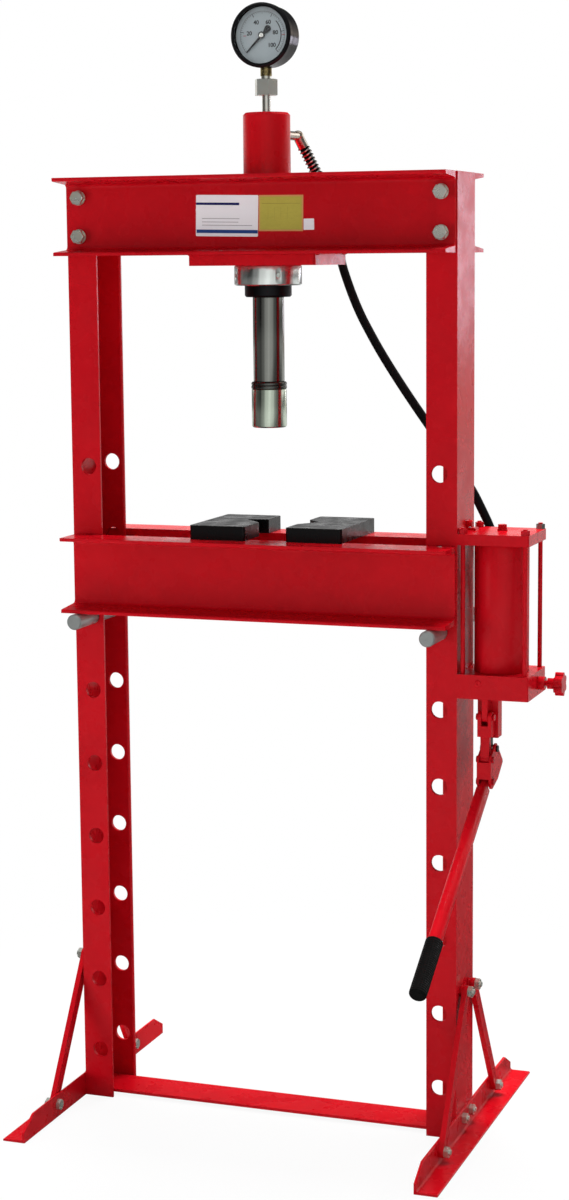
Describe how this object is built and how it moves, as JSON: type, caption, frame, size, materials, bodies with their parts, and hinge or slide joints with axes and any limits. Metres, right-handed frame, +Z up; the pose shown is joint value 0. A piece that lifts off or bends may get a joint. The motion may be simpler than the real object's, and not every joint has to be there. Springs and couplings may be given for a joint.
{
  "type": "shop press",
  "caption": "Floor-standing hydraulic shop press: H-frame of steel channels, hand pump, hose, gauge, ram and pinned bed.",
  "frame": {"origin": "on the floor, midway between the posts, under the ram's axis", "axes": "+X to the side that carries the pump, +Y away from the front, +Z up"},
  "size_m": [0.882, 0.7225, 1.877],
  "materials": {
    "red_enamel": "gloss red enamel",
    "zinc_steel": "zinc plated",
    "polished_steel": "ground and polished",
    "blackened_steel": "blackened, oiled",
    "seal_rubber": "matt",
    "pin_steel": "plain turned steel",
    "plate_black": "satin black",
    "gauge_black": "gloss black",
    "gauge_face": "printed dial",
    "gauge_glass": "clear",
    "nickel": "nickel plated",
    "hose_rubber": "smooth black",
    "guard_wire": "bright wire",
    "fitting_steel": "zinc plated",
    "grip_rubber": "moulded black"
  },
  "bodies": {
    "frame": {"left_post": "red_enamel", "right_post": "red_enamel", "head_beam_front": "red_enamel", "head_beam_rear": "red_enamel", "head_bolts": "zinc_steel", "head_washers": "zinc_steel", "head_nuts": "zinc_steel", "bottom_rail": "red_enamel", "foot_left": "red_enamel", "foot_right": "red_enamel", "braces_left": "red_enamel", "braces_right": "red_enamel", "brace_spacers": "red_enamel", "base_bolts": "zinc_steel", "base_nuts": "zinc_steel", "cylinder_plate": "red_enamel", "cylinder_barrel": "red_enamel", "ring_nut": "polished_steel", "gland": "blackened_steel", "gauge_case": "gauge_black", "gauge_bezel": "gauge_black", "gauge_glass": "gauge_glass", "gauge_dial": "gauge_face", "gauge_nut": "nickel", "gauge_tube": "nickel", "hose_elbow": "fitting_steel", "hose_guard": "guard_wire", "hose": "hose_rubber", "hose_tail": "fitting_steel", "pump_base": "red_enamel", "reservoir": "red_enamel", "pump_top": "red_enamel", "pump_bolts": "zinc_steel", "pump_lug": "red_enamel", "tie_rods": "red_enamel", "tie_nuts": "red_enamel", "filler_plug": "red_enamel", "pump_body": "red_enamel", "fulcrum_pin": "red_enamel", "valve_gland": "red_enamel"},
    "ram": {"ram_rod": "polished_steel", "piston": "blackened_steel", "piston_seal": "seal_rubber", "ram_collar": "polished_steel", "ram_nose": "polished_steel"},
    "bed": {"bed_beam_front": "red_enamel", "bed_beam_rear": "red_enamel", "bed_spacers": "red_enamel", "arbor_plate_left": "plate_black", "arbor_plate_right": "plate_black"},
    "left_pin": {"pin_left": "pin_steel"},
    "right_pin": {"pin_right": "pin_steel"},
    "plunger": {"plunger": "polished_steel"},
    "link": {"fulcrum_link": "red_enamel"},
    "handle": {"lever": "red_enamel", "lever_pins": "blackened_steel", "handle_tube": "red_enamel", "handle_grip": "grip_rubber"},
    "valve": {"valve_knob": "red_enamel"},
    "needle": {"gauge_needle": "gauge_black"}
  },
  "joints": [
    {"name": "ram_slide", "type": "slide", "parent": "frame", "child": "ram", "axis": [0, 0, 1], "range_m": [-0.012, 0.138]},
    {"name": "bed_lift", "type": "slide", "parent": "frame", "child": "bed", "axis": [0, 0, 1], "range_m": [0, 0.129]},
    {"name": "pin_left_pull", "type": "slide", "parent": "frame", "child": "left_pin", "axis": [0, -1, 0], "range_m": [0, 0.24]},
    {"name": "pin_right_pull", "type": "slide", "parent": "frame", "child": "right_pin", "axis": [0, -1, 0], "range_m": [0, 0.24]},
    {"name": "plunger_slide", "type": "slide", "parent": "frame", "child": "plunger", "axis": [0, 0, 1], "range_m": [-0.0285, 0.0001]},
    {"name": "handle_swing", "type": "hinge", "parent": "plunger", "child": "handle", "pos_m": [0.381, 0.002, 0.661], "axis": [-1, 0, 0], "range_deg": [0, 58]},
    {"name": "link_swing", "type": "hinge", "parent": "handle", "child": "link", "pos_m": [0.381, -0.023, 0.647], "axis": [-1, 0, 0], "range_deg": [-58.5, 0.1]},
    {"name": "valve_turn", "type": "hinge", "parent": "frame", "child": "valve", "pos_m": [0.497, 0.018, 0.772], "axis": [1, 0, 0], "range_deg": [0, 360]},
    {"name": "needle_turn", "type": "hinge", "parent": "frame", "child": "needle", "pos_m": [0, -0.014, 1.825], "axis": [0, 1, 0], "range_deg": [0, 270]}
  ],
  "couplings": [
    {"joint": "plunger_slide", "follows": "handle_swing", "m_per_rad": -0.0275},
    {"joint": "link_swing", "follows": "handle_swing", "ratio": -1}
  ]
}
